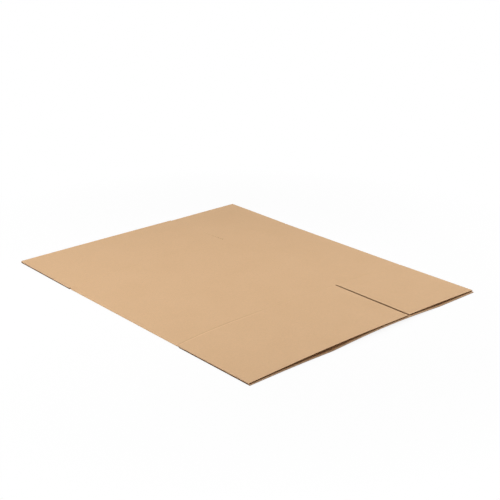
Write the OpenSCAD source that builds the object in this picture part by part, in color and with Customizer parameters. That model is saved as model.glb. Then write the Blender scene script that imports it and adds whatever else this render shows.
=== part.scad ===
// Flattened corrugated carton: a glued sleeve of four panels pressed flat, with full-depth flaps.
// X runs across the two panels of a layer, Y along the flutes, Z up from the floor.
// The upper layer is a wide panel beside a narrow one, the lower layer the same turned end for end.

/* [Carton] */
// Width of a wide panel, fold to fold
wide_panel = 542.5; // [300:0.5:900]
// Width of a narrow panel, fold to fold
narrow_panel = 263.5; // [140:0.5:480]
// Height of the panels, score to score
panel_height = 476; // [200:1:900]
// Depth of every flap, score to free edge
flap_depth = 262; // [80:1:300]
// Width of the near slot of the upper layer
slot_width = 5; // [3:0.5:12]
// Width of the other slots, which have closed up
closed_slot_width = 1.2; // [0.8:0.1:12]
// How far the near edge of the upper wide flap stops short of the lower flaps
near_wide_setback = 2.6; // [0:0.1:6]
// How far the near edge of the upper narrow flap stops short of the lower flaps
near_narrow_setback = 4; // [0:0.1:6]
// How far the right sides of the upper flaps stop short of the right fold
side_setback = 1.5; // [0:0.1:4]
// How far the near narrow flap's free edge has moved to the right of its score
near_skew = 1.5; // [0:0.1:4]
// How far a flattened fold draws in from the flap sides
fold_draw = 0.3; // [0.1:0.1:2]

/* [Lap joint] */
// Width of the glued tab inside the lower layer
tab_width = 36; // [25:1:60]
// How far the tab's ends stop short of the scores
tab_setback = 6; // [3:0.5:30]
// Gap between the two panel edges that the tab bridges
joint_gap = 2; // [1:0.5:5]
// Length over which the tab steps up onto the wide panel
tab_step = 5; // [4:0.5:12]

/* [Board] */
// Thickness of the corrugated board
board_thickness = 2; // [1.6:0.1:5]
// Thickness of each flat facing of the board
facing_thickness = 0.3; // [0.2:0.05:0.6]
// Distance from one flute crest to the next on the same facing
flute_pitch = 6.5; // [5:0.1:10]
// Thickness of the fluted layer between the facings
medium_thickness = 0.35; // [0.25:0.05:0.7]
// Depth of the open flute ends at the cut edges
flute_depth = 9; // [3:0.5:20]
// Board left whole beside the last flute of an edge
flute_margin = 1; // [0.6:0.1:3]

/* [Scores] */
// Distance from a score to where the board is back at full thickness
score_run = 4; // [2:0.5:10]
// Depth of the score pressed into the outside facing
score_outside_depth = 0.35; // [0.1:0.05:0.6]
// Depth of the score pressed into the inside facing
score_inside_depth = 0.65; // [0.2:0.05:1]
// Depth of the score between two panels, in the outside facing
panel_score_depth = 0.15; // [0.05:0.05:0.4]
// Gap at a score between a panel and its lifting flap
score_gap = 0.3; // [0.2:0.05:0.8]

/* [Spring of the folds] */
// Gap between the layers where they are pressed together
layer_gap = 0.3; // [0.25:0.05:2]
// How far the right fold holds the layers apart
right_spring = 0.8; // [0:0.1:8]
// Height that the upper panels bow up at the near scores
near_bow = 11; // [4:0.5:20]
// Lean of that bow towards the left fold
near_lean_share = 0.6; // [0:0.05:0.95]
// Height that the upper panels bow up at the far scores
far_bow = 11; // [4:0.5:20]
// Lean of that bow towards the left fold
far_lean_share = 0; // [0:0.05:0.95]

/* [Lift of the free edges] */
// Arch of the lower wide flap's near edge off the floor
lower_wide_arch = 6.5; // [0:0.5:10]
// Share of that flap's width that the arch takes up
lower_arch_share = 0.74; // [0.5:0.02:1]
// Arch of the lower narrow flap's near edge off the floor
lower_narrow_arch = 1.6; // [0:0.1:3]
// Opening between the layers beside the near slot
near_slot_lift = 1.5; // [0.2:0.1:6]
// Arch of the upper wide flap's near edge
near_wide_arch = 4.3; // [3:0.1:12]
// Arch of the upper narrow flap's near edge
near_narrow_arch = 0.8; // [0:0.1:8]
// Lift of the near edge at its left corner
near_left_lift = 0.8; // [0:0.1:6]
// Lift of the near edge at its right corner
near_corner_lift = 1.6; // [0:0.1:8]
// Lift of the far edge at its left corner
far_left_lift = 3.2; // [0:0.1:6]
// Lift of the far edge beside the far slot
far_slot_lift = 3.2; // [0:0.1:6]
// Lift of the far edge at its right corner
far_corner_lift = 3.4; // [0:0.1:8]
// Arch of the upper flaps' far edges
far_arch = 0.3; // [0:0.1:6]

/* [Hidden] */

flat_width = wide_panel + narrow_panel;
flat_length = panel_height + 2 * flap_depth;
side_x = flat_width / 2;
end_y = flat_length / 2;
score_y = panel_height / 2;

// The slots and the score between the panels, on each layer
upper_slot_x = side_x - narrow_panel;
lower_slot_x = narrow_panel - side_x;

// Heights of the two layers where they lie pressed together
upper_base = board_thickness + layer_gap;
left_inner = layer_gap / 2;
left_outer = left_inner + board_thickness;
left_x = side_x - fold_draw - left_outer;

// The right fold, which stands open
right_inner = (layer_gap + right_spring) / 2;
right_outer = right_inner + board_thickness;
right_x = side_x - fold_draw - right_outer;

// Flute section: slope of the fluted layer, and how far its thickness eats into each open cell
flute_height = board_thickness - 2 * facing_thickness;
half_pitch = flute_pitch / 2;
flute_angle = atan(flute_height / half_pitch);
cell_inset = medium_thickness / 2 / sin(flute_angle);
cell_drop = medium_thickness / 2 / cos(flute_angle);

// How far a cut runs past the face that it opens
overrun = 1;
// How far the lower flaps reach into the sleeve's scored ends, and the skin left around that root
root_reach = 0.6;
root_skin = 0.15;
// How far the glued tab beds into the panel that it lies on
glue_bed = 0.1;

// How flat the middle of the bow is
bow_power = 3;

wide_steps = 18;
narrow_steps = 10;
fold_steps = 6;

board_colour = [0.84, 0.70, 0.55];

function spread(a, b, steps) = [for (i = [0 : steps]) a + (b - a) * i / steps];
function blend(a, b, s) = a + (b - a) * s;

// Lift of the upper panels from the left fold to the open right one, with a bow on it
function bow(x, rise, lean) =
    let (
        s = max(0, min(1, (x + left_x) / (left_x + right_x))),
        away = abs(2 * (s + lean * s * (1 - s)) - 1)
    )
    right_spring * s + rise * (1 - pow(away, bow_power));

// Lift of a free edge: a straight line from one corner to the other, with an arch on it
function edge_lift(x, x0, x1, lift0, lift1, arch, reach = 1) =
    let (s = (x - x0) / (x1 - x0))
    blend(lift0, lift1, s) + arch * sin(180 * min(1, s / reach));

// Sides of the flaps on each layer
half_slot = slot_width / 2;
closed_half_slot = closed_slot_width / 2;
upper_wide_x = [-side_x, upper_slot_x - half_slot];
upper_narrow_x = [upper_slot_x + half_slot, side_x - side_setback];
far_wide_x = [-side_x, upper_slot_x - closed_half_slot];
far_narrow_x = [upper_slot_x + closed_half_slot, side_x - side_setback];
lower_narrow_x = [-side_x, lower_slot_x - closed_half_slot];
lower_wide_x = [lower_slot_x + closed_half_slot, side_x];

// Lift of each flap's free edge above where it would lie pressed flat
lower_wide_lift = function (x)
    edge_lift(x, lower_wide_x[0], lower_wide_x[1], 0, 0, lower_wide_arch, lower_arch_share);
lower_narrow_lift = function (x)
    edge_lift(x, lower_narrow_x[0], lower_narrow_x[1], 0, 0, lower_narrow_arch);
near_wide_lift = function (x)
    edge_lift(x, upper_wide_x[0], upper_wide_x[1], near_left_lift, near_slot_z, near_wide_arch);
near_narrow_lift = function (x)
    edge_lift(x, upper_narrow_x[0], upper_narrow_x[1], near_slot_z, near_corner_lift, near_narrow_arch);
far_wide_lift = function (x)
    edge_lift(x, far_wide_x[0], far_wide_x[1], far_left_lift, far_slot_lift, far_arch);
far_narrow_lift = function (x)
    edge_lift(x, far_narrow_x[0], far_narrow_x[1], far_slot_lift, far_corner_lift, far_arch);
flat_lift = function (x) 0;
near_slot_z = lower_wide_lift(upper_slot_x) + near_slot_lift;

// Lift of each flap along its score, which the bowed panel gives it
near_score_lift = function (x) bow(x, near_bow, near_lean_share);
far_score_lift = function (x) bow(x, far_bow, far_lean_share);

// Two triangles for one four-sided patch
function patch(a, b, c, d) = [[a, b, c], [a, c, d]];

// A closed sheet through rows of points: xs across, ys along, with a bottom and a top height at each.
// shifts is how far each row is moved sideways.
module sheet(xs, ys, shifts, bottoms, tops) {
    n = len(xs);
    m = len(ys);
    points = [
        for (j = [0 : m - 1], i = [0 : n - 1], heights = [bottoms, tops])
            [xs[i] + shifts[j], ys[j], heights[j][i]]
    ];
    low = function (i, j) 2 * (j * n + i);
    high = function (i, j) low(i, j) + 1;
    faces = [
        for (j = [0 : m - 2], i = [0 : n - 2]) each concat(
            patch(low(i, j), low(i + 1, j), low(i + 1, j + 1), low(i, j + 1)),
            patch(high(i, j), high(i, j + 1), high(i + 1, j + 1), high(i + 1, j))
        ),
        for (i = [0 : n - 2]) each concat(
            patch(low(i, 0), high(i, 0), high(i + 1, 0), low(i + 1, 0)),
            patch(low(i, m - 1), low(i + 1, m - 1), high(i + 1, m - 1), high(i, m - 1))
        ),
        for (j = [0 : m - 2]) each concat(
            patch(low(0, j), low(0, j + 1), high(0, j + 1), high(0, j)),
            patch(low(n - 1, j), high(n - 1, j), high(n - 1, j + 1), low(n - 1, j + 1))
        )
    ];
    polyhedron(points, faces);
}

// One open flute cell: a triangle between the fluted layer and the facing that it leans on
module flute_cell(k, base_z, lift) {
    x = k * half_pitch - side_x;
    side = k % 2 == 0 ? 1 : -1;
    middle = base_z + board_thickness / 2;
    wall = side * flute_height / 2;
    tip = side * (cell_drop - flute_height / 2);
    foot = half_pitch - cell_inset;
    rotate([90, 0, 0]) linear_extrude(height = flute_depth + overrun)
        polygon([
            [x - foot, middle + wall + lift(x - foot)],
            [x + foot, middle + wall + lift(x + foot)],
            [x, middle + tip + lift(x)]
        ]);
}

// The open flute ends along one flap's free edge; dir is -1 for the near edge and 1 for the far one
module flute_ends(span, dir, base_z, edge_y, lift) {
    foot = half_pitch - cell_inset;
    first = ceil((span[0] + flute_margin + foot + side_x) / half_pitch);
    last = floor((span[1] - flute_margin - foot + side_x) / half_pitch);
    translate([0, dir < 0 ? flute_depth - edge_y : edge_y + overrun, 0])
        for (k = [first : last]) flute_cell(k, base_z, lift);
}

// One flap, ruled from its score to its free edge, with the pressed score and the open flutes.
// base_z is the underside where it would lie pressed flat, start_y where it leaves its score, edge_y
// its free edge, low_press and high_press the depths of the score in its underside and its top, and
// skew how far its free edge has moved sideways.
module flap(
    span, steps, dir, base_z, start_y, edge_y, low_press, high_press, score_lift, free_lift, skew = 0
) {
    xs = spread(span[0], span[1], steps);
    straight_y = edge_y - flute_depth - overrun;
    stations = [start_y, score_y + score_run, straight_y, edge_y];
    order = dir < 0 ? [3, 2, 1, 0] : [0, 1, 2, 3];
    function run_share(j) = max(0, min(1, (stations[j] - score_y) / (straight_y - score_y)));
    function low_z(x, j) =
        base_z + blend(score_lift(x), free_lift(x), run_share(j)) + (j == 0 ? low_press : 0);
    function high_z(x, j) =
        low_z(x, j) + board_thickness - (j == 0 ? low_press + high_press : 0);
    difference() {
        sheet(
            xs,
            [for (j = order) dir * stations[j]],
            [for (j = order) skew * run_share(j)],
            [for (j = order) [for (x = xs) low_z(x, j)]],
            [for (j = order) [for (x = xs) high_z(x, j)]]
        );
        translate([skew, 0, 0]) flute_ends(span, dir, base_z, edge_y, free_lift);
    }
}

// A flap of the upper layer, clear of its panel by the score gap
module upper_flap(span, steps, dir, setback, score_lift, free_lift, skew = 0) {
    color(board_colour)
        flap(
            span, steps, dir, upper_base, score_y + score_gap, end_y - setback,
            score_inside_depth, score_outside_depth, score_lift, free_lift, skew
        );
}

// A flap of the lower layer, rooted in the scored end of the sleeve
module lower_flap(span, steps, dir, free_lift) {
    flap(
        span, steps, dir, 0, score_y - root_reach, end_y,
        score_outside_depth + root_skin, score_inside_depth + root_skin, flat_lift, free_lift
    );
}

// Points across the upper layer from right to left, each with 1 where the score between panels is pressed
upper_places = concat(
    [for (x = spread(right_x, upper_slot_x + score_run, narrow_steps)) [x, 0]],
    [[upper_slot_x, 1]],
    [for (x = spread(upper_slot_x - score_run, -left_x, wide_steps)) [x, 0]]
);
lower_places = [-left_x, lower_slot_x, right_x];
fold_turns = spread(-90, 90, fold_steps);

// The sleeve's section at one depth under its outside, at a share of the way from near to far score.
// dent is how far the score between the upper panels moves that depth.
function sleeve_loop(depth, share, dent) =
    concat(
        [for (x = lower_places) [x, depth]],
        [
            for (i = [1 : fold_steps - 1]) [
                right_x + (right_outer - depth) * cos(fold_turns[i]),
                right_outer + (right_outer - depth) * sin(fold_turns[i])
            ]
        ],
        [
            for (p = upper_places) [
                p[0],
                upper_base + board_thickness - depth - p[1] * dent
                    + blend(near_score_lift(p[0]), far_score_lift(p[0]), share)
            ]
        ],
        [
            for (i = [1 : fold_steps - 1]) [
                -left_x - (left_outer - depth) * cos(fold_turns[i]),
                left_outer - (left_outer - depth) * sin(fold_turns[i])
            ]
        ]
    );

// Four panels in one closed sleeve, flattened at two folds, from the near scores to the far ones
module sleeve() {
    ys = [-score_y, score_run - score_y, score_y - score_run, score_y];
    presses = [1, 0, 0, 1];
    rows = len(ys);
    outer = [
        for (j = [0 : rows - 1]) sleeve_loop(
            presses[j] * score_outside_depth,
            (ys[j] + score_y) / panel_height,
            (1 - presses[j]) * panel_score_depth
        )
    ];
    inner = [
        for (j = [0 : rows - 1]) sleeve_loop(
            board_thickness - presses[j] * score_inside_depth,
            (ys[j] + score_y) / panel_height,
            (presses[j] - 1) * score_inside_depth
        )
    ];
    n = len(outer[0]);
    points = [
        for (loops = [outer, inner], j = [0 : rows - 1], p = [0 : n - 1])
            [loops[j][p][0], ys[j], loops[j][p][1]]
    ];
    out = function (i, j) j * n + i % n;
    inn = function (i, j) (rows + j) * n + i % n;
    faces = [
        for (j = [0 : rows - 2], i = [0 : n - 1]) each concat(
            patch(out(i, j), out(i + 1, j), out(i + 1, j + 1), out(i, j + 1)),
            patch(inn(i, j), inn(i, j + 1), inn(i + 1, j + 1), inn(i + 1, j))
        ),
        for (i = [0 : n - 1]) each concat(
            patch(out(i, 0), inn(i, 0), inn(i + 1, 0), out(i + 1, 0)),
            patch(out(i, rows - 1), out(i + 1, rows - 1), inn(i + 1, rows - 1), inn(i, rows - 1))
        )
    ];
    polyhedron(points, faces);
}

// The glued tab: it leaves the narrow panel, steps up and lies on the inside of the wide panel
module glued_tab() {
    seam_x = lower_slot_x - joint_gap / 2;
    tab_length = panel_height - 2 * tab_setback;
    translate([0, tab_length / 2, 0]) rotate([90, 0, 0]) linear_extrude(height = tab_length)
        polygon([
            [seam_x - tab_step, board_thickness - glue_bed],
            [lower_slot_x + tab_width, board_thickness - glue_bed],
            [lower_slot_x + tab_width, 2 * board_thickness - glue_bed],
            [seam_x, 2 * board_thickness - glue_bed],
            [seam_x - tab_step, board_thickness]
        ]);
}

// The open seam between the narrow and the wide panel of the lower layer
module seam() {
    translate([lower_slot_x - joint_gap / 2, -score_y - overrun, -overrun])
        cube([joint_gap, panel_height + 2 * overrun, board_thickness + overrun + layer_gap / 2]);
}

module folded_sleeve() {
    color(board_colour) union() {
        difference() {
            sleeve();
            seam();
        }
        glued_tab();
        lower_flap(lower_narrow_x, narrow_steps, -1, lower_narrow_lift);
        lower_flap(lower_wide_x, wide_steps, -1, lower_wide_lift);
        lower_flap(lower_narrow_x, narrow_steps, 1, flat_lift);
        lower_flap(lower_wide_x, wide_steps, 1, flat_lift);
    }
}

module near_wide_flap() {
    upper_flap(upper_wide_x, wide_steps, -1, near_wide_setback, near_score_lift, near_wide_lift);
}

module near_narrow_flap() {
    upper_flap(
        upper_narrow_x, narrow_steps, -1, near_narrow_setback, near_score_lift, near_narrow_lift, near_skew
    );
}

module far_wide_flap() {
    upper_flap(far_wide_x, wide_steps, 1, 0, far_score_lift, far_wide_lift);
}

module far_narrow_flap() {
    upper_flap(far_narrow_x, narrow_steps, 1, 0, far_score_lift, far_narrow_lift);
}

folded_sleeve();
near_wide_flap();
near_narrow_flap();
far_wide_flap();
far_narrow_flap();
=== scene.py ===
import bpy
import math
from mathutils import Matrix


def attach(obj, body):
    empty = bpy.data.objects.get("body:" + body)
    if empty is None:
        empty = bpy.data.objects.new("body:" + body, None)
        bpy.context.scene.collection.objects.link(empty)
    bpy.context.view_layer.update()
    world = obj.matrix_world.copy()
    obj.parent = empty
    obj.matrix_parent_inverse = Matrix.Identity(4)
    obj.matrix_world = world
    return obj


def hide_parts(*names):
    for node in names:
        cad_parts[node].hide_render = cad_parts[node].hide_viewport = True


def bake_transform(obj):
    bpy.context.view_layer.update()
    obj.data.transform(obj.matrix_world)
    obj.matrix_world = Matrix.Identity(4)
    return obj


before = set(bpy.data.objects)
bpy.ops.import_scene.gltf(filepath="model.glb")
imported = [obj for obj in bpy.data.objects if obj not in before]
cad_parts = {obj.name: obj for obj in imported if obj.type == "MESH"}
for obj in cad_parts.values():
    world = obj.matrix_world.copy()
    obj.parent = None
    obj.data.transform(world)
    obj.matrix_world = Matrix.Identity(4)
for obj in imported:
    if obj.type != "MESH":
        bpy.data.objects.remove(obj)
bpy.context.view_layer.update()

# the flat carton, in metres, same frame as the CAD: x across the panels, y along the flutes
carton = {
    "widePanel": 0.5425,
    "narrowPanel": 0.2635,
    "panelHeight": 0.476,
    "flapDepth": 0.262,
    "slotWidth": 0.005,
    "closedSlotWidth": 0.0012,  # every slot but the near upper one has closed up
    "nearWideSetback": 0.0026,  # upper near flaps stop short of the lower ones
    "nearNarrowSetback": 0.004,
    "sideSetback": 0.0015,  # upper narrow flaps stop short of the right fold
    "nearSkew": 0.0015,  # near narrow flap's free edge has moved to the right
    "foldDraw": 0.0003,  # folds lie this much inside the flaps' outer sides
    "layerGap": 0.0003,  # between the layers where they are pressed together
}
board = {
    "thickness": 0.002,
    "facing": 0.00025,
    "fluted": 0.00022,
    "pitch": 0.0065,
    "fluteInset": 0.0006,  # flutes stop short of a flap's sides
    "scoreRun": 0.004,  # from a score to board at full thickness
    "pressOutside": 0.0005,
    "pressInside": 0.00065,
    "sideWall": 0.0004,  # a flap's outer side is crushed shut
    "wallPlay": 0.00002,  # keeps the crushed side a shell of its own
    "nearShut": 0.5,  # share of an upper flap's side that is shut, from the top
    "farShut": 0.85,
}
# how finely the board is divided
divisions = {
    "fluteSteps": 8,
    "fluteWeld": 0.00002,
    "flapRows": 5,
    "columnsPerPitch": 2,
    "scoreSteps": 6,  # rows on each side of a score
    "smoothAngle": 35,
}
# a face counts as a cut edge by these shares of its normal
edgeLimits = {"flap": 0.5, "crease": 0.6, "sleeve": 0.7}
# how the sprung folds hold the layers off each other
spring = {
    "rightFold": 0.0008,  # the right fold stands a little open
    "bowPower": 3,  # higher is flatter in the middle
    "nearBow": 0.01099,
    "nearLean": 0.6,  # moves the top of the bow to the left
    "farBow": 0.01099,
    "farLean": 0.0,
    "lowerWideArch": 0.0065,
    "lowerArchShare": 0.74,  # part of the wide flap that its arch takes
    "lowerNarrowArch": 0.0016,
    "nearSlotLift": 0.0015,
    "nearWideArch": 0.0043,
    "nearNarrowArch": 0.0008,
    "nearLeftLift": 0.0008,
    "nearCornerLift": 0.0016,
    "farLeftLift": 0.0032,
    "farSlotLift": 0.0032,
    "farCornerLift": 0.0034,
    "farSlotStep": 0.0016,  # the narrow flap lies this much lower than the wide one at their slot
    "farArch": 0.0003,
    "lowerFarLift": 0.002,  # far left corner of the lower layer, off the floor
    "straightEnd": 0.010,  # last stretch of a flap that keeps its edge's lift
}

sideX = (carton["widePanel"] + carton["narrowPanel"]) / 2
scoreY = carton["panelHeight"] / 2
endY = scoreY + carton["flapDepth"]
upperSlotX = sideX - carton["narrowPanel"]
lowerSlotX = -upperSlotX
halfSlot = carton["slotWidth"] / 2
upperBase = board["thickness"] + carton["layerGap"]
closedHalfSlot = carton["closedSlotWidth"] / 2
leftOuter = carton["layerGap"] / 2 + board["thickness"]
leftX = sideX - carton["foldDraw"] - leftOuter
rightOuter = (carton["layerGap"] + spring["rightFold"]) / 2 + board["thickness"]
rightX = sideX - carton["foldDraw"] - rightOuter
spans = {
    "upperWide": (-sideX, upperSlotX - halfSlot),
    "upperNarrow": (upperSlotX + halfSlot, sideX - carton["sideSetback"]),
    "farWide": (-sideX, upperSlotX - closedHalfSlot),
    "farNarrow": (upperSlotX + closedHalfSlot, sideX - carton["sideSetback"]),
    "lowerNarrow": (-sideX, lowerSlotX - closedHalfSlot),
    "lowerWide": (lowerSlotX + closedHalfSlot, sideX),
}


def clamp01(value):
    return max(0.0, min(1.0, value))


def between(a, b, share):
    return a + (b - a) * share


def spread(a, b, steps):
    return [a + (b - a) * i / steps for i in range(steps + 1)]


def bow(x, rise, lean):
    s = clamp01((x + leftX) / (leftX + rightX))
    away = abs(2 * (s + lean * s * (1 - s)) - 1)
    return spring["rightFold"] * s + rise * (1 - away ** spring["bowPower"])


def nearBow(x):
    return bow(x, spring["nearBow"], spring["nearLean"])


def farBow(x):
    return bow(x, spring["farBow"], spring["farLean"])


def panelBow(x, y):
    return between(nearBow(x), farBow(x), clamp01((y + scoreY) / (2 * scoreY)))


def edgeLift(x, span, lift0, lift1, arch, reach=1.0):
    s = (x - span[0]) / (span[1] - span[0])
    return between(lift0, lift1, s) + arch * math.sin(math.pi * min(1.0, max(0.0, s) / reach))


def lowerWideEdge(x):
    return edgeLift(x, spans["lowerWide"], 0, 0, spring["lowerWideArch"], spring["lowerArchShare"])


def lowerNarrowEdge(x):
    return edgeLift(x, spans["lowerNarrow"], 0, 0, spring["lowerNarrowArch"])


nearSlotZ = lowerWideEdge(upperSlotX) + spring["nearSlotLift"]


def nearWideEdge(x):
    return edgeLift(x, spans["upperWide"], spring["nearLeftLift"], nearSlotZ, spring["nearWideArch"])


def nearNarrowEdge(x):
    return edgeLift(x, spans["upperNarrow"], nearSlotZ, spring["nearCornerLift"], spring["nearNarrowArch"])


def farWideEdge(x):
    slotLift = spring["farSlotLift"] + spring["farSlotStep"] / 2
    return edgeLift(x, spans["farWide"], spring["farLeftLift"], slotLift, spring["farArch"])


def farNarrowEdge(x):
    slotLift = spring["farSlotLift"] - spring["farSlotStep"] / 2
    return edgeLift(x, spans["farNarrow"], slotLift, spring["farCornerLift"], spring["farArch"])


def lowerFarNarrowEdge(x):
    return edgeLift(x, spans["lowerNarrow"], spring["lowerFarLift"], 0, 0)


def flatEdge(x):
    return 0.0


def runShare(y, edgeY):
    # 0 at the score, 1 where the flap keeps its free edge's lift
    return clamp01((abs(y) - scoreY) / (edgeY - spring["straightEnd"] - scoreY))


def flapLift(x, y, scoreLift, freeEdge, edgeY):
    return between(scoreLift(x), freeEdge(x), runShare(y, edgeY))


# finishes: kraft paper on the facings, bare paper at the cut edges, with painted light and shade where
# marked
finishes = {
    "facing": (0.664, 0.431, 0.245, 1),
    "facingPale": (0.672, 0.4375, 0.2505, 1),
    "facingDark": (0.656, 0.424, 0.2395, 1),
    # fluted paper and cut edges: the paper's own darker brown, made darker still with painted shade of
    # open flutes, gaps and slots
    "fluted": (0.170, 0.062, 0.013, 1),
    "flutedPale": (0.235, 0.094, 0.022, 1),
    "cut": (0.175, 0.066, 0.014, 1),
    "cutPale": (0.240, 0.098, 0.025, 1),
    "side": (0.760, 0.520, 0.330, 1),  # outer sides of the upper flaps, painted pale as painted highlight, then of the lower ones
    "sidePale": (0.840, 0.600, 0.400, 1),
    # the lower flaps' outer sides, painted near black: painted shade of the gap under the upper flaps
    "lowerSidePaintedShade": (0.060, 0.023, 0.006, 1),
    "lowerSidePaintedShadePale": (0.085, 0.034, 0.009, 1),
    "lowerCutPaintedLight": (0.700, 0.500, 0.360, 1),  # lower layer, painted paler: painted light thrown up from the floor
    "lowerCutPaintedLightPale": (0.800, 0.610, 0.470, 1),
}
# painted shade and painted highlight in a band along the near score, panel side first
scoreShading = {
    "width": 0.014,
    "shift": 0.0015,  # towards the panel
    "tones": [
        (0.22, (1, 1, 1, 1)), (0.36, (0.88, 0.87, 0.86, 1)), (0.47, (0.88, 0.87, 0.86, 1)),
        (0.53, (1.10, 1.10, 1.11, 1)), (0.66, (1.10, 1.10, 1.11, 1)), (0.82, (1, 1, 1, 1))],
    "start": 0.10,  # left of the middle, where the painted shade and highlight begin
    "reach": 0.10,
}
# a noise has scale, detail and roughness, a bump has strength and distance
facingLook = {
    "cloud": (9.0, 3.0, 0.55),  # broad tone of the sheet
    "cloudStops": (0.30, 0.50, 0.72),
    "mottle": (130.0, 6.0, 0.62),  # pulp mottle
    "mottleTones": [(0.30, (0.975, 0.975, 0.97, 1)), (0.70, (1.025, 1.025, 1.02, 1))],
    "fibre": (1.0, 5.0, 0.7),
    "fibreStretch": (260, 1500, 800),  # fibres lie across the flutes
    "fibreTones": [(0.32, (0.88, 0.87, 0.85, 1)), (0.50, (1, 1, 1, 1)), (0.68, (1.08, 1.07, 1.05, 1))],
    "fibreShare": 0.8,
    "fleckScale": 70.0,
    "fleckTones": [(0.035, (0.66, 0.62, 0.56, 1)), (0.075, (1, 1, 1, 1))],
    "fleckShare": 0.55,
    "roughness": [(0.3, (0.70, 0.70, 0.70, 1)), (0.7, (0.84, 0.84, 0.84, 1))],
    "specular": 0.32,
    "waveTurn": 20,  # radians a metre of the wave texture at scale 1
    "ripple": 0.4,
    "fluteBump": (0.30, 0.00005),  # flutes show faintly through the facing
    "fibreBump": (0.22, 0.0001),
    "mottleBump": (0.15, 0.0002),
}
paperLook = {
    "flutedGrain": 420.0,
    "cutGrain": 900.0,
    "pulp": (6.0, 0.65),  # detail and roughness
    "pulpStops": (0.32, 0.68),
    "streak": (1.0, 4.0, 0.6),
    "streakStretch": (700, 300, 2600),
    "streakTones": [(0.3, (0.82, 0.81, 0.79, 1)), (0.7, (1.08, 1.07, 1.06, 1))],
    "streakShare": 0.8,
    "roughness": 0.9,
    "specular": 0.2,
    "bump": (0.5, 0.0001),
}


def newFinish(name):
    material = bpy.data.materials.new(name)
    material.use_nodes = True
    tree = material.node_tree
    place = tree.nodes.new("ShaderNodeTexCoord")
    return material, tree, tree.nodes["Principled BSDF"], place.outputs["Object"]


def feed(tree, socket, value):
    # another node's output, or a plain value
    if hasattr(value, "is_linked"):
        tree.links.new(value, socket)
    else:
        socket.default_value = value


def stretched(tree, spot, scale):
    node = tree.nodes.new("ShaderNodeMapping")
    node.inputs["Scale"].default_value = scale
    tree.links.new(spot, node.inputs["Vector"])
    return node.outputs["Vector"]


def noise(tree, spot, look):
    node = tree.nodes.new("ShaderNodeTexNoise")
    for socket, value in zip(("Scale", "Detail", "Roughness"), look):
        node.inputs[socket].default_value = value
    tree.links.new(spot, node.inputs["Vector"])
    return node.outputs["Fac"]


def ramp(tree, source, stops):
    node = tree.nodes.new("ShaderNodeValToRGB")
    bar = node.color_ramp
    while len(bar.elements) < len(stops):
        bar.elements.new(0.5)
    for element, (where, colour) in zip(bar.elements, stops):
        element.position = where
        element.color = colour
    tree.links.new(source, node.inputs["Fac"])
    return node.outputs["Color"]


def multiplied(tree, share, a, b):
    node = tree.nodes.new("ShaderNodeMix")
    node.data_type = "RGBA"
    node.blend_type = "MULTIPLY"
    feed(tree, node.inputs["Factor"], share)
    tree.links.new(a, node.inputs["A"])
    tree.links.new(b, node.inputs["B"])
    return node.outputs["Result"]


def mathNode(tree, operation, first, second, clamp=False):
    node = tree.nodes.new("ShaderNodeMath")
    node.operation = operation
    node.use_clamp = clamp
    tree.links.new(first, node.inputs[0])
    feed(tree, node.inputs[1], second)
    return node.outputs["Value"]


def bump(tree, height, look, under=None):
    node = tree.nodes.new("ShaderNodeBump")
    for socket, value in zip(("Strength", "Distance"), look):
        node.inputs[socket].default_value = value
    tree.links.new(height, node.inputs["Height"])
    if under is not None:
        tree.links.new(under, node.inputs["Normal"])
    return node.outputs["Normal"]


def paintedScoreShading(tree, spot):
    # painted shade on the score's panel side and painted highlight on its flap side, most at the left fold
    apart = tree.nodes.new("ShaderNodeSeparateXYZ")
    tree.links.new(spot, apart.inputs["Vector"])
    beyond = mathNode(tree, "ADD", mathNode(tree, "MULTIPLY", apart.outputs["Y"], -1.0), -scoreY)
    middle = 0.5 + scoreShading["shift"] / scoreShading["width"]
    across = mathNode(tree, "ADD", mathNode(tree, "MULTIPLY", beyond, 1 / scoreShading["width"]), middle)
    nearFold = mathNode(tree, "MULTIPLY", apart.outputs["X"], -1 / scoreShading["reach"])
    share = mathNode(tree, "ADD", nearFold, -scoreShading["start"] / scoreShading["reach"], True)
    return share, ramp(tree, across, scoreShading["tones"])


def kraftFacing():
    look = facingLook
    material, tree, shader, spot = newFinish("kraftFacing")
    link = tree.links.new
    tones = (finishes["facingDark"], finishes["facing"], finishes["facingPale"])
    colour = ramp(tree, noise(tree, spot, look["cloud"]), list(zip(look["cloudStops"], tones)))
    mottle = noise(tree, spot, look["mottle"])
    colour = multiplied(tree, 1.0, colour, ramp(tree, mottle, look["mottleTones"]))
    fibre = noise(tree, stretched(tree, spot, look["fibreStretch"]), look["fibre"])
    colour = multiplied(tree, look["fibreShare"], colour, ramp(tree, fibre, look["fibreTones"]))
    fleck = tree.nodes.new("ShaderNodeTexVoronoi")
    fleck.inputs["Scale"].default_value = look["fleckScale"]
    link(spot, fleck.inputs["Vector"])
    fleckTone = ramp(tree, fleck.outputs["Distance"], look["fleckTones"])
    colour = multiplied(tree, look["fleckShare"], colour, fleckTone)
    # painted shade and painted highlight along the near score
    scoreShadingShare, scoreShadingTone = paintedScoreShading(tree, spot)
    link(multiplied(tree, scoreShadingShare, colour, scoreShadingTone), shader.inputs["Base Color"])
    link(ramp(tree, mottle, look["roughness"]), shader.inputs["Roughness"])
    shader.inputs["Specular IOR Level"].default_value = look["specular"]
    wash = tree.nodes.new("ShaderNodeTexWave")
    wash.wave_type = "BANDS"
    wash.bands_direction = "X"
    wash.inputs["Scale"].default_value = 2 * math.pi / (look["waveTurn"] * board["pitch"])
    wash.inputs["Distortion"].default_value = look["ripple"]
    link(spot, wash.inputs["Vector"])
    relief = bump(tree, wash.outputs["Fac"], look["fluteBump"])
    relief = bump(tree, fibre, look["fibreBump"], relief)
    relief = bump(tree, mottle, look["mottleBump"], relief)
    link(relief, shader.inputs["Normal"])
    return material


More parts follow.
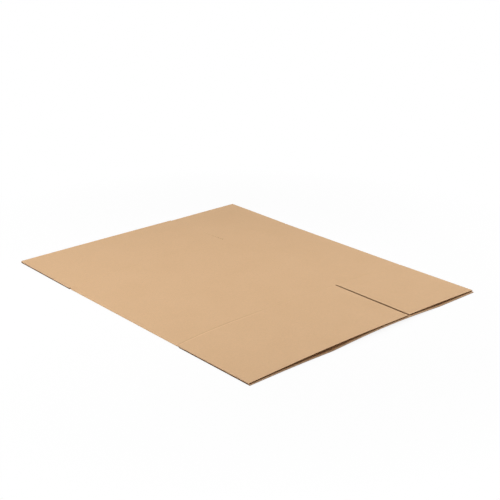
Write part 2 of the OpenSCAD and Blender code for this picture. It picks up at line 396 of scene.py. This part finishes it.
def rawPaper(name, tone, grain):
    look = paperLook
    material, tree, shader, spot = newFinish(name)
    pulp = noise(tree, spot, (grain,) + look["pulp"])
    tones = (finishes[tone], finishes[tone + "Pale"])
    colour = ramp(tree, pulp, list(zip(look["pulpStops"], tones)))
    streak = noise(tree, stretched(tree, spot, look["streakStretch"]), look["streak"])
    colour = multiplied(tree, look["streakShare"], colour, ramp(tree, streak, look["streakTones"]))
    tree.links.new(colour, shader.inputs["Base Color"])
    shader.inputs["Roughness"].default_value = look["roughness"]
    shader.inputs["Specular IOR Level"].default_value = look["specular"]
    tree.links.new(bump(tree, streak, look["bump"]), shader.inputs["Normal"])
    return material


facingFinish = kraftFacing()
# the fluted and cut finishes carry painted shade as well as the paper's brown
flutedFinish = rawPaper("flutedPaper", "fluted", paperLook["flutedGrain"])
cutFinish = rawPaper("cutPaperEdge", "cut", paperLook["cutGrain"])
# the upper flaps' outer sides, painted pale: painted highlight
paintedLightSideFinish = rawPaper("paperSidePaintedLight", "side", paperLook["cutGrain"])
# painted shade on the lower flaps' outer sides
lowerSidePaintedShadeFinish = rawPaper("paperSidePaintedShade", "lowerSidePaintedShade", paperLook["cutGrain"])
# painted light on the lower layer's cut edges and fluted paper
lowerCutPaintedLightFinish = rawPaper("paperEdgePaintedLight", "lowerCutPaintedLight", paperLook["cutGrain"])
print("finishes ready")


# corrugated board
def only(piece):
    bpy.ops.object.select_all(action="DESELECT")
    piece.select_set(True)
    bpy.context.view_layer.objects.active = piece


def applyModifier(piece, kind, **settings):
    only(piece)
    modifier = piece.modifiers.new(kind.lower(), kind)
    for key, value in settings.items():
        setattr(modifier, key, value)
    bpy.ops.object.modifier_apply(modifier=modifier.name)


def gridPiece(name, columns, rows):
    bpy.ops.mesh.primitive_grid_add(x_subdivisions=columns, y_subdivisions=rows, size=1)
    piece = bpy.context.active_object
    piece.name = name
    return piece


def layGrid(piece, columns, rows, placeAt):
    # each point of the grid goes to its column and row of the laid-out board
    for point in piece.data.vertices:
        column = round((point.co.x + 0.5) * columns)
        row = round((point.co.y + 0.5) * rows)
        point.co = placeAt(column, row)


def markCutEdges(piece, outer):
    # faces that stand up are cut edges of the paper, on the flap's outer side or elsewhere
    limit = edgeLimits["flap"]
    for face in piece.data.polygons:
        if abs(face.normal.z) < limit:
            face.material_index = 2 if face.normal.x * outer > limit else 1


def flutedLayer(name, span, yRows, base, finish):
    pitch = board["pitch"]
    steps = divisions["fluteSteps"]
    first = math.floor((span[0] + sideX) / pitch)
    count = math.ceil((span[1] + sideX) / pitch) - first
    height = (board["thickness"] - 2 * board["facing"] - board["fluted"]) / 2
    middle = base + board["thickness"] / 2
    startX = first * pitch - sideX
    piece = gridPiece(name, steps, len(yRows) - 1)
    layGrid(piece, steps, len(yRows) - 1, lambda c, r: (
        startX + pitch * c / steps, yRows[r], middle + height * math.cos(2 * math.pi * c / steps)))
    applyModifier(piece, "ARRAY", count=count, use_relative_offset=False, use_constant_offset=True,
                  constant_offset_displace=(pitch, 0, 0), use_merge_vertices=True,
                  merge_threshold=divisions["fluteWeld"])
    bpy.ops.object.mode_set(mode="EDIT")
    inset = board["fluteInset"]
    for side, way in ((span[0] + inset, -1), (span[1] - inset, 1)):
        bpy.ops.mesh.select_all(action="SELECT")
        bpy.ops.mesh.bisect(plane_co=(side, 0, middle), plane_no=(way, 0, 0), clear_outer=True)
    bpy.ops.object.mode_set(mode="OBJECT")
    applyModifier(piece, "SOLIDIFY", thickness=board["fluted"], offset=0)
    piece.data.materials.append(finish)
    return piece


def facing(name, span, yRows, bottom, thickness, columns, outer, edges):
    xs = spread(span[0], span[1], columns)
    piece = gridPiece(name, columns, len(yRows) - 1)
    layGrid(piece, columns, len(yRows) - 1, lambda c, r: (xs[c], yRows[r], bottom))
    applyModifier(piece, "SOLIDIFY", thickness=thickness, offset=1)
    for finish in (facingFinish,) + edges:
        piece.data.materials.append(finish)
    markCutEdges(piece, outer)
    return piece


def joined(pieces, name):
    bpy.ops.object.select_all(action="DESELECT")
    for piece in pieces:
        piece.select_set(True)
    bpy.context.view_layer.objects.active = pieces[0]
    bpy.ops.object.join()
    pieces[0].name = name
    pieces[0].data.name = name
    return pieces[0]


def smooth(piece):
    only(piece)
    bpy.ops.object.shade_smooth_by_angle(angle=math.radians(divisions["smoothAngle"]))


def rowsOut(dirY, start, end, steps):
    # rows from the panel outwards, in the order of y
    return sorted(dirY * y for y in spread(start, end, steps))


def markEnds(piece, axis, limit):
    # cut edges of solid board, on the faces turned along one axis
    piece.data.materials.append(facingFinish)
    piece.data.materials.append(cutFinish)
    for face in piece.data.polygons:
        face.material_index = 1 if abs(face.normal[axis]) > limit else 0


def flapBoard(name, span, dirY, base, scoreLift, freeEdge, edgeY, skew=0.0):
    # two facings, the fluted layer between them and a shut outer side, all sprung to their lift
    rows = rowsOut(dirY, scoreY + board["scoreRun"], edgeY, divisions["flapRows"])
    columns = round((span[1] - span[0]) / board["pitch"]) * divisions["columnsPerPitch"]
    if base > 0:
        inner = flutedFinish
        underEdges = (cutFinish, cutFinish)
        # an upper flap's outer side carries the painted highlight
        overEdges = (cutFinish, paintedLightSideFinish)
        shut = board["nearShut"] if dirY < 0 else board["farShut"]
    else:
        # the lower layer's paper takes painted light from the floor
        inner = lowerCutPaintedLightFinish
        underEdges = (lowerCutPaintedLightFinish, lowerSidePaintedShadeFinish)
        overEdges = underEdges
        shut = 1.0
    outer = -1 if abs(span[0]) > abs(span[1]) else 1
    side = span[0] if outer < 0 else span[1]
    wall = sorted((side, side - outer * board["sideWall"]))
    paper = board["facing"]
    over = base + board["thickness"] - paper
    play = board["wallPlay"]
    wallHeight = shut * (board["thickness"] - 2 * paper - 2 * play)
    layers = [
        flutedLayer(name + "Fluted", span, rows, base, inner),
        facing(name + "Under", span, rows, base, paper, columns, outer, underEdges),
        facing(name + "Over", span, rows, over, paper, columns, outer, overEdges),
        facing(name + "Side", wall, rows, over - play - wallHeight, wallHeight, 1, outer, overEdges),
    ]
    piece = joined(layers, name)
    for point in piece.data.vertices:
        point.co.z += flapLift(point.co.x, point.co.y, scoreLift, freeEdge, edgeY)
        point.co.x += skew * runShare(point.co.y, edgeY)
    smooth(piece)
    return piece


def pressAt(y):
    # how deep the score is pressed at this distance from it, from 0 to 1
    away = abs(abs(y) - scoreY) / board["scoreRun"]
    return max(0.0, 1 - away)


def creaseStrip(name, span, dirY, scoreLift, freeEdge, edgeY):
    left, right = max(span[0], -leftX), min(span[1], rightX)
    columns = round((right - left) / board["pitch"])
    xs = spread(left, right, columns)
    steps = 2 * divisions["scoreSteps"]
    rows = rowsOut(dirY, scoreY - board["scoreRun"], scoreY + board["scoreRun"], steps)
    piece = gridPiece(name, columns, steps)
    layGrid(piece, columns, steps, lambda c, r: (xs[c], rows[r], upperBase))
    applyModifier(piece, "SOLIDIFY", thickness=board["thickness"], offset=1)
    middle = upperBase + board["thickness"] / 2
    for point in piece.data.vertices:
        x, y, z = point.co
        z += -pressAt(y) * board["pressOutside"] if z > middle else pressAt(y) * board["pressInside"]
        lift = panelBow(x, y) if abs(y) < scoreY else flapLift(x, y, scoreLift, freeEdge, edgeY)
        point.co.z = z + lift
    markEnds(piece, 0, edgeLimits["crease"])
    smooth(piece)
    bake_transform(piece)
    return piece


# the sleeve: four panels in one strip, from the tab's edge round both folds to the wide panel's edge
lapJoint = {
    "tabWidth": 0.036,
    "tabStart": 0.001,  # from the joint's middle to the tab's flat part
    "gap": 0.002,
    "step": 0.006,  # run in which the board steps down from the tab to the floor
    "bed": 0.00003,  # glue between the tab and the wide panel
    "setback": 0.006,  # the tab stops short of the scores
    "rise": 0.0003,  # run of the step at the tab's ends
}
# columns along each stretch of the strip, and its rows between the scores
sleeveGrid = {
    "tab": 4,
    "step": 3,
    "lowerNarrow": 14,
    "leftFold": 10,
    "upperWide": 60,
    "slot": 2,
    "upperNarrow": 30,
    "rightFold": 14,
    "lowerWide": 28,
    "middleRows": [-0.12, 0.0, 0.12],
}


def straight(kind, stretch, start, end, z):
    return [(kind, x, z) for x in spread(start, end, sleeveGrid[stretch])]


def foldArc(stretch, centreX, radius, start, end):
    arc = []
    for turn in spread(start, end, sleeveGrid[stretch])[1:-1]:
        angle = math.radians(turn)
        arc.append(("fold", centreX + radius * math.cos(angle), radius + radius * math.sin(angle)))
    return arc


def sleevePath():
    half = lapJoint["gap"] / 2
    tabZ = board["thickness"] + lapJoint["bed"]
    stepX = lowerSlotX - half
    flatX = stepX - lapJoint["step"]
    top = 2 * leftOuter
    tabEdge = lowerSlotX + lapJoint["tabWidth"]
    path = straight("tab", "tab", tabEdge, lowerSlotX + lapJoint["tabStart"], tabZ)
    for x in spread(stepX, flatX, sleeveGrid["step"]):
        share = (stepX - x) / lapJoint["step"]
        path.append(("lower", x, tabZ * (0.5 + 0.5 * math.cos(math.pi * share))))
    path += straight("lower", "lowerNarrow", flatX, -leftX, 0.0)[1:]
    path += foldArc("leftFold", -leftX, leftOuter, -90, -270)
    path += straight("upper", "upperWide", -leftX, spans["upperWide"][1], top)
    path += straight("upper", "slot", upperSlotX - closedHalfSlot, upperSlotX + closedHalfSlot, top)
    path += straight("upper", "upperNarrow", spans["upperNarrow"][0], rightX, top)
    path += foldArc("rightFold", rightX, rightOuter, 90, -90)
    path += straight("lower", "lowerWide", rightX, lowerSlotX + half, 0.0)
    return path


def sleeveBoard():
    path = sleevePath()
    columns = len(path) - 1
    run = board["scoreRun"]
    tabEnd = scoreY - lapJoint["setback"]
    steps = divisions["scoreSteps"]
    nearRows = spread(-scoreY - run, -scoreY, steps)[:-1] + spread(-scoreY, -scoreY + run, steps)
    nearRows += [-tabEnd, lapJoint["rise"] - tabEnd]
    rows = nearRows + sleeveGrid["middleRows"] + [-y for y in reversed(nearRows)]
    last = len(rows) - 1

    def placeAt(column, row):
        kind, x, z = path[column]
        y = rows[row]
        if kind == "upper":
            z += panelBow(x, y)
        elif kind == "lower" and abs(y) >= tabEnd:
            z = 0.0  # past the tab's ends the narrow panel stays flat
        return (x, y, z)

    piece = gridPiece("sleeveBoard", columns, last)
    kinds = {}
    for point in piece.data.vertices:
        kinds[point.index] = path[round((point.co.x + 0.5) * columns)][0]
    layGrid(piece, columns, last, placeAt)
    # cut away what the scores, the slots and the tab's short ends leave out
    only(piece)
    bpy.ops.object.mode_set(mode="EDIT")
    bpy.ops.mesh.select_mode(type="FACE")
    bpy.ops.mesh.select_all(action="DESELECT")
    bpy.ops.object.mode_set(mode="OBJECT")
    for face in piece.data.polygons:
        x, y = face.center.x, abs(face.center.y)
        found = {kinds[i] for i in face.vertices}
        slot = halfSlot if face.center.y < 0 else closedHalfSlot
        tongue = abs(x - upperSlotX) < slot
        gone = False
        if found == {"upper"}:
            gone = y > scoreY if tongue else y > scoreY - run
        elif "fold" in found:
            gone = y > scoreY
        elif "tab" in found:
            gone = y > tabEnd
        face.select = gone
    bpy.ops.object.mode_set(mode="EDIT")
    bpy.ops.mesh.delete(type="FACE")
    bpy.ops.object.mode_set(mode="OBJECT")
    count = len(piece.data.vertices)
    outward = [point.normal.copy() for point in piece.data.vertices]
    applyModifier(piece, "SOLIDIFY", thickness=board["thickness"], offset=-1)
    for index, point in enumerate(piece.data.vertices):
        press = pressAt(point.co.y)
        if index < count:
            point.co -= outward[index] * press * board["pressOutside"]
        elif index < 2 * count:
            point.co += outward[index - count] * press * board["pressInside"]
    markEnds(piece, 1, edgeLimits["sleeve"])
    smooth(piece)
    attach(piece, "sleeve")
    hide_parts("folded_sleeve")
    return piece


sleeve = sleeveBoard()
print("sleeve folded", len(sleeve.data.polygons))

lowerFlaps = {
    "lowerNearNarrow": ("lowerNarrow", -1, lowerNarrowEdge),
    "lowerNearWide": ("lowerWide", -1, lowerWideEdge),
    "lowerFarNarrow": ("lowerNarrow", 1, lowerFarNarrowEdge),
    "lowerFarWide": ("lowerWide", 1, flatEdge),
}
for name, (span, dirY, edge) in lowerFlaps.items():
    piece = flapBoard(name, spans[span], dirY, 0.0, flatEdge, edge, endY)
    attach(piece, "sleeve")
    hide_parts("folded_sleeve")
print("lower flaps laid")

upperFlaps = {
    "nearWide": ("upperWide", -1, nearBow, nearWideEdge, carton["nearWideSetback"], 0.0),
    "nearNarrow": (
        "upperNarrow", -1, nearBow, nearNarrowEdge, carton["nearNarrowSetback"], carton["nearSkew"]),
    "farWide": ("farWide", 1, farBow, farWideEdge, 0.0, 0.0),
    "farNarrow": ("farNarrow", 1, farBow, farNarrowEdge, 0.0, 0.0),
}
upperBodies = {
    "nearWide": ("near_wide", "near_wide_flap"),
    "nearNarrow": ("near_narrow", "near_narrow_flap"),
    "farWide": ("far_wide", "far_wide_flap"),
    "farNarrow": ("far_narrow", "far_narrow_flap"),
}
for name, (span, dirY, scoreLift, edge, setback, skew) in upperFlaps.items():
    body, node = upperBodies[name]
    edgeY = endY - setback
    piece = flapBoard(name + "Board", spans[span], dirY, upperBase, scoreLift, edge, edgeY, skew)
    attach(piece, body)
    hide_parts(node)
    creaseStrip(name + "Crease", spans[span], dirY, scoreLift, edge, edgeY)
print("upper flaps and creases laid")


# floor, lights and camera
stage = {
    "floorSize": 14.0,
    "floorDrop": 0.0002,  # below the carton
    "floorTone": 0.98,
    "floorRoughness": 0.9,
    "floorSpecular": 0.1,
    "shadowShare": 0.12,  # how much of the true shadow the camera sees
    "shadowReach": (0.65, 1.10),  # from the middle: shadow kept up to here, gone from there
    "white": (1, 1, 1, 1),
    "seenLight": 1.0,  # floor and world as the camera sees them
    "worldLight": 0.19,
    "softboxSize": 1.8,
    "softboxes": {  # place and power
        "leftSoftbox": ((-1.3, 0.3, 2.1), 22.0),
        "backSoftbox": ((-1.4, 1.0, 1.4), 18.8),
        "rightSoftbox": ((0.9, -0.6, 1.4), 16.8),
    },
}


def seenDirectly(tree):
    # 1 for what the camera, a reflection or clear glass shows, 0 for light that falls on the carton
    path = tree.nodes.new("ShaderNodeLightPath")
    found = path.outputs["Is Camera Ray"]
    for kind in ("Is Glossy Ray", "Is Transmission Ray"):
        found = mathNode(tree, "MAXIMUM", found, path.outputs[kind])
    return found


def shadowFade(tree, spot):
    # 1 round the carton, where its shadow falls, and 0 on the open floor
    reach = tree.nodes.new("ShaderNodeVectorMath")
    reach.operation = "LENGTH"
    tree.links.new(spot, reach.inputs[0])
    start, end = stage["shadowReach"]
    down = mathNode(tree, "MULTIPLY", reach.outputs["Value"], -1 / (end - start))
    return mathNode(tree, "ADD", down, end / (end - start), True)


def floorFinish():
    material, tree, shader, spot = newFinish("paleFloor")
    link = tree.links.new
    tone = stage["floorTone"]
    shader.inputs["Base Color"].default_value = (tone, tone, tone, 1)
    shader.inputs["Roughness"].default_value = stage["floorRoughness"]
    shader.inputs["Specular IOR Level"].default_value = stage["floorSpecular"]
    white = tree.nodes.new("ShaderNodeEmission")
    white.inputs["Strength"].default_value = stage["seenLight"]
    kept = mathNode(tree, "MULTIPLY", shadowFade(tree, spot), -stage["shadowShare"])
    share = mathNode(tree, "MULTIPLY", seenDirectly(tree), mathNode(tree, "ADD", kept, 1.0))
    mix = tree.nodes.new("ShaderNodeMixShader")
    link(share, mix.inputs["Fac"])
    link(shader.outputs["BSDF"], mix.inputs[1])
    link(white.outputs["Emission"], mix.inputs[2])
    link(mix.outputs["Shader"], tree.nodes["Material Output"].inputs["Surface"])
    return material


bpy.ops.mesh.primitive_plane_add(size=stage["floorSize"], location=(0, 0, -stage["floorDrop"]))
floor = bpy.context.active_object
floor.name = "floor"
floor.data.materials.append(floorFinish())

world = bpy.data.worlds.new("studio")
bpy.context.scene.world = world
world.use_nodes = True
worldTree = world.node_tree
backLight = worldTree.nodes["Background"]
backLight.inputs["Color"].default_value = stage["white"]
backLight.inputs["Strength"].default_value = stage["worldLight"]
seen = worldTree.nodes.new("ShaderNodeBackground")
seen.inputs["Color"].default_value = stage["white"]
seen.inputs["Strength"].default_value = stage["seenLight"]
worldMix = worldTree.nodes.new("ShaderNodeMixShader")
worldTree.links.new(seenDirectly(worldTree), worldMix.inputs["Fac"])
worldTree.links.new(backLight.outputs["Background"], worldMix.inputs[1])
worldTree.links.new(seen.outputs["Background"], worldMix.inputs[2])
worldTree.links.new(worldMix.outputs["Shader"], worldTree.nodes["World Output"].inputs["Surface"])

for name, (place, power) in stage["softboxes"].items():
    bpy.ops.object.light_add(type="AREA", location=place)
    lamp = bpy.context.active_object
    lamp.name = name
    lamp.data.energy = power
    lamp.data.size = stage["softboxSize"]
    lampX, lampY, lampZ = place
    lamp.rotation_euler = (math.atan2(math.hypot(lampX, lampY), lampZ), 0, math.atan2(lampX, -lampY))

cameraView = {
    "place": (-1.7771, -2.0588, 1.1033),
    "yaw": 48.59,  # from the x axis, in degrees
    "pitch": 20.58,  # downwards
    "lens": 75.48,
    "sensor": 36,
    "farClip": 60,
}
bpy.ops.object.camera_add(
    location=cameraView["place"],
    rotation=(math.radians(90 - cameraView["pitch"]), 0, math.radians(cameraView["yaw"] - 90)))
camera = bpy.context.active_object
camera.name = "photoCamera"
camera.data.lens = cameraView["lens"]
camera.data.sensor_width = cameraView["sensor"]
camera.data.clip_end = cameraView["farClip"]
bpy.context.scene.camera = camera
bpy.context.scene.view_settings.view_transform = "Standard"
print("stage and camera set")
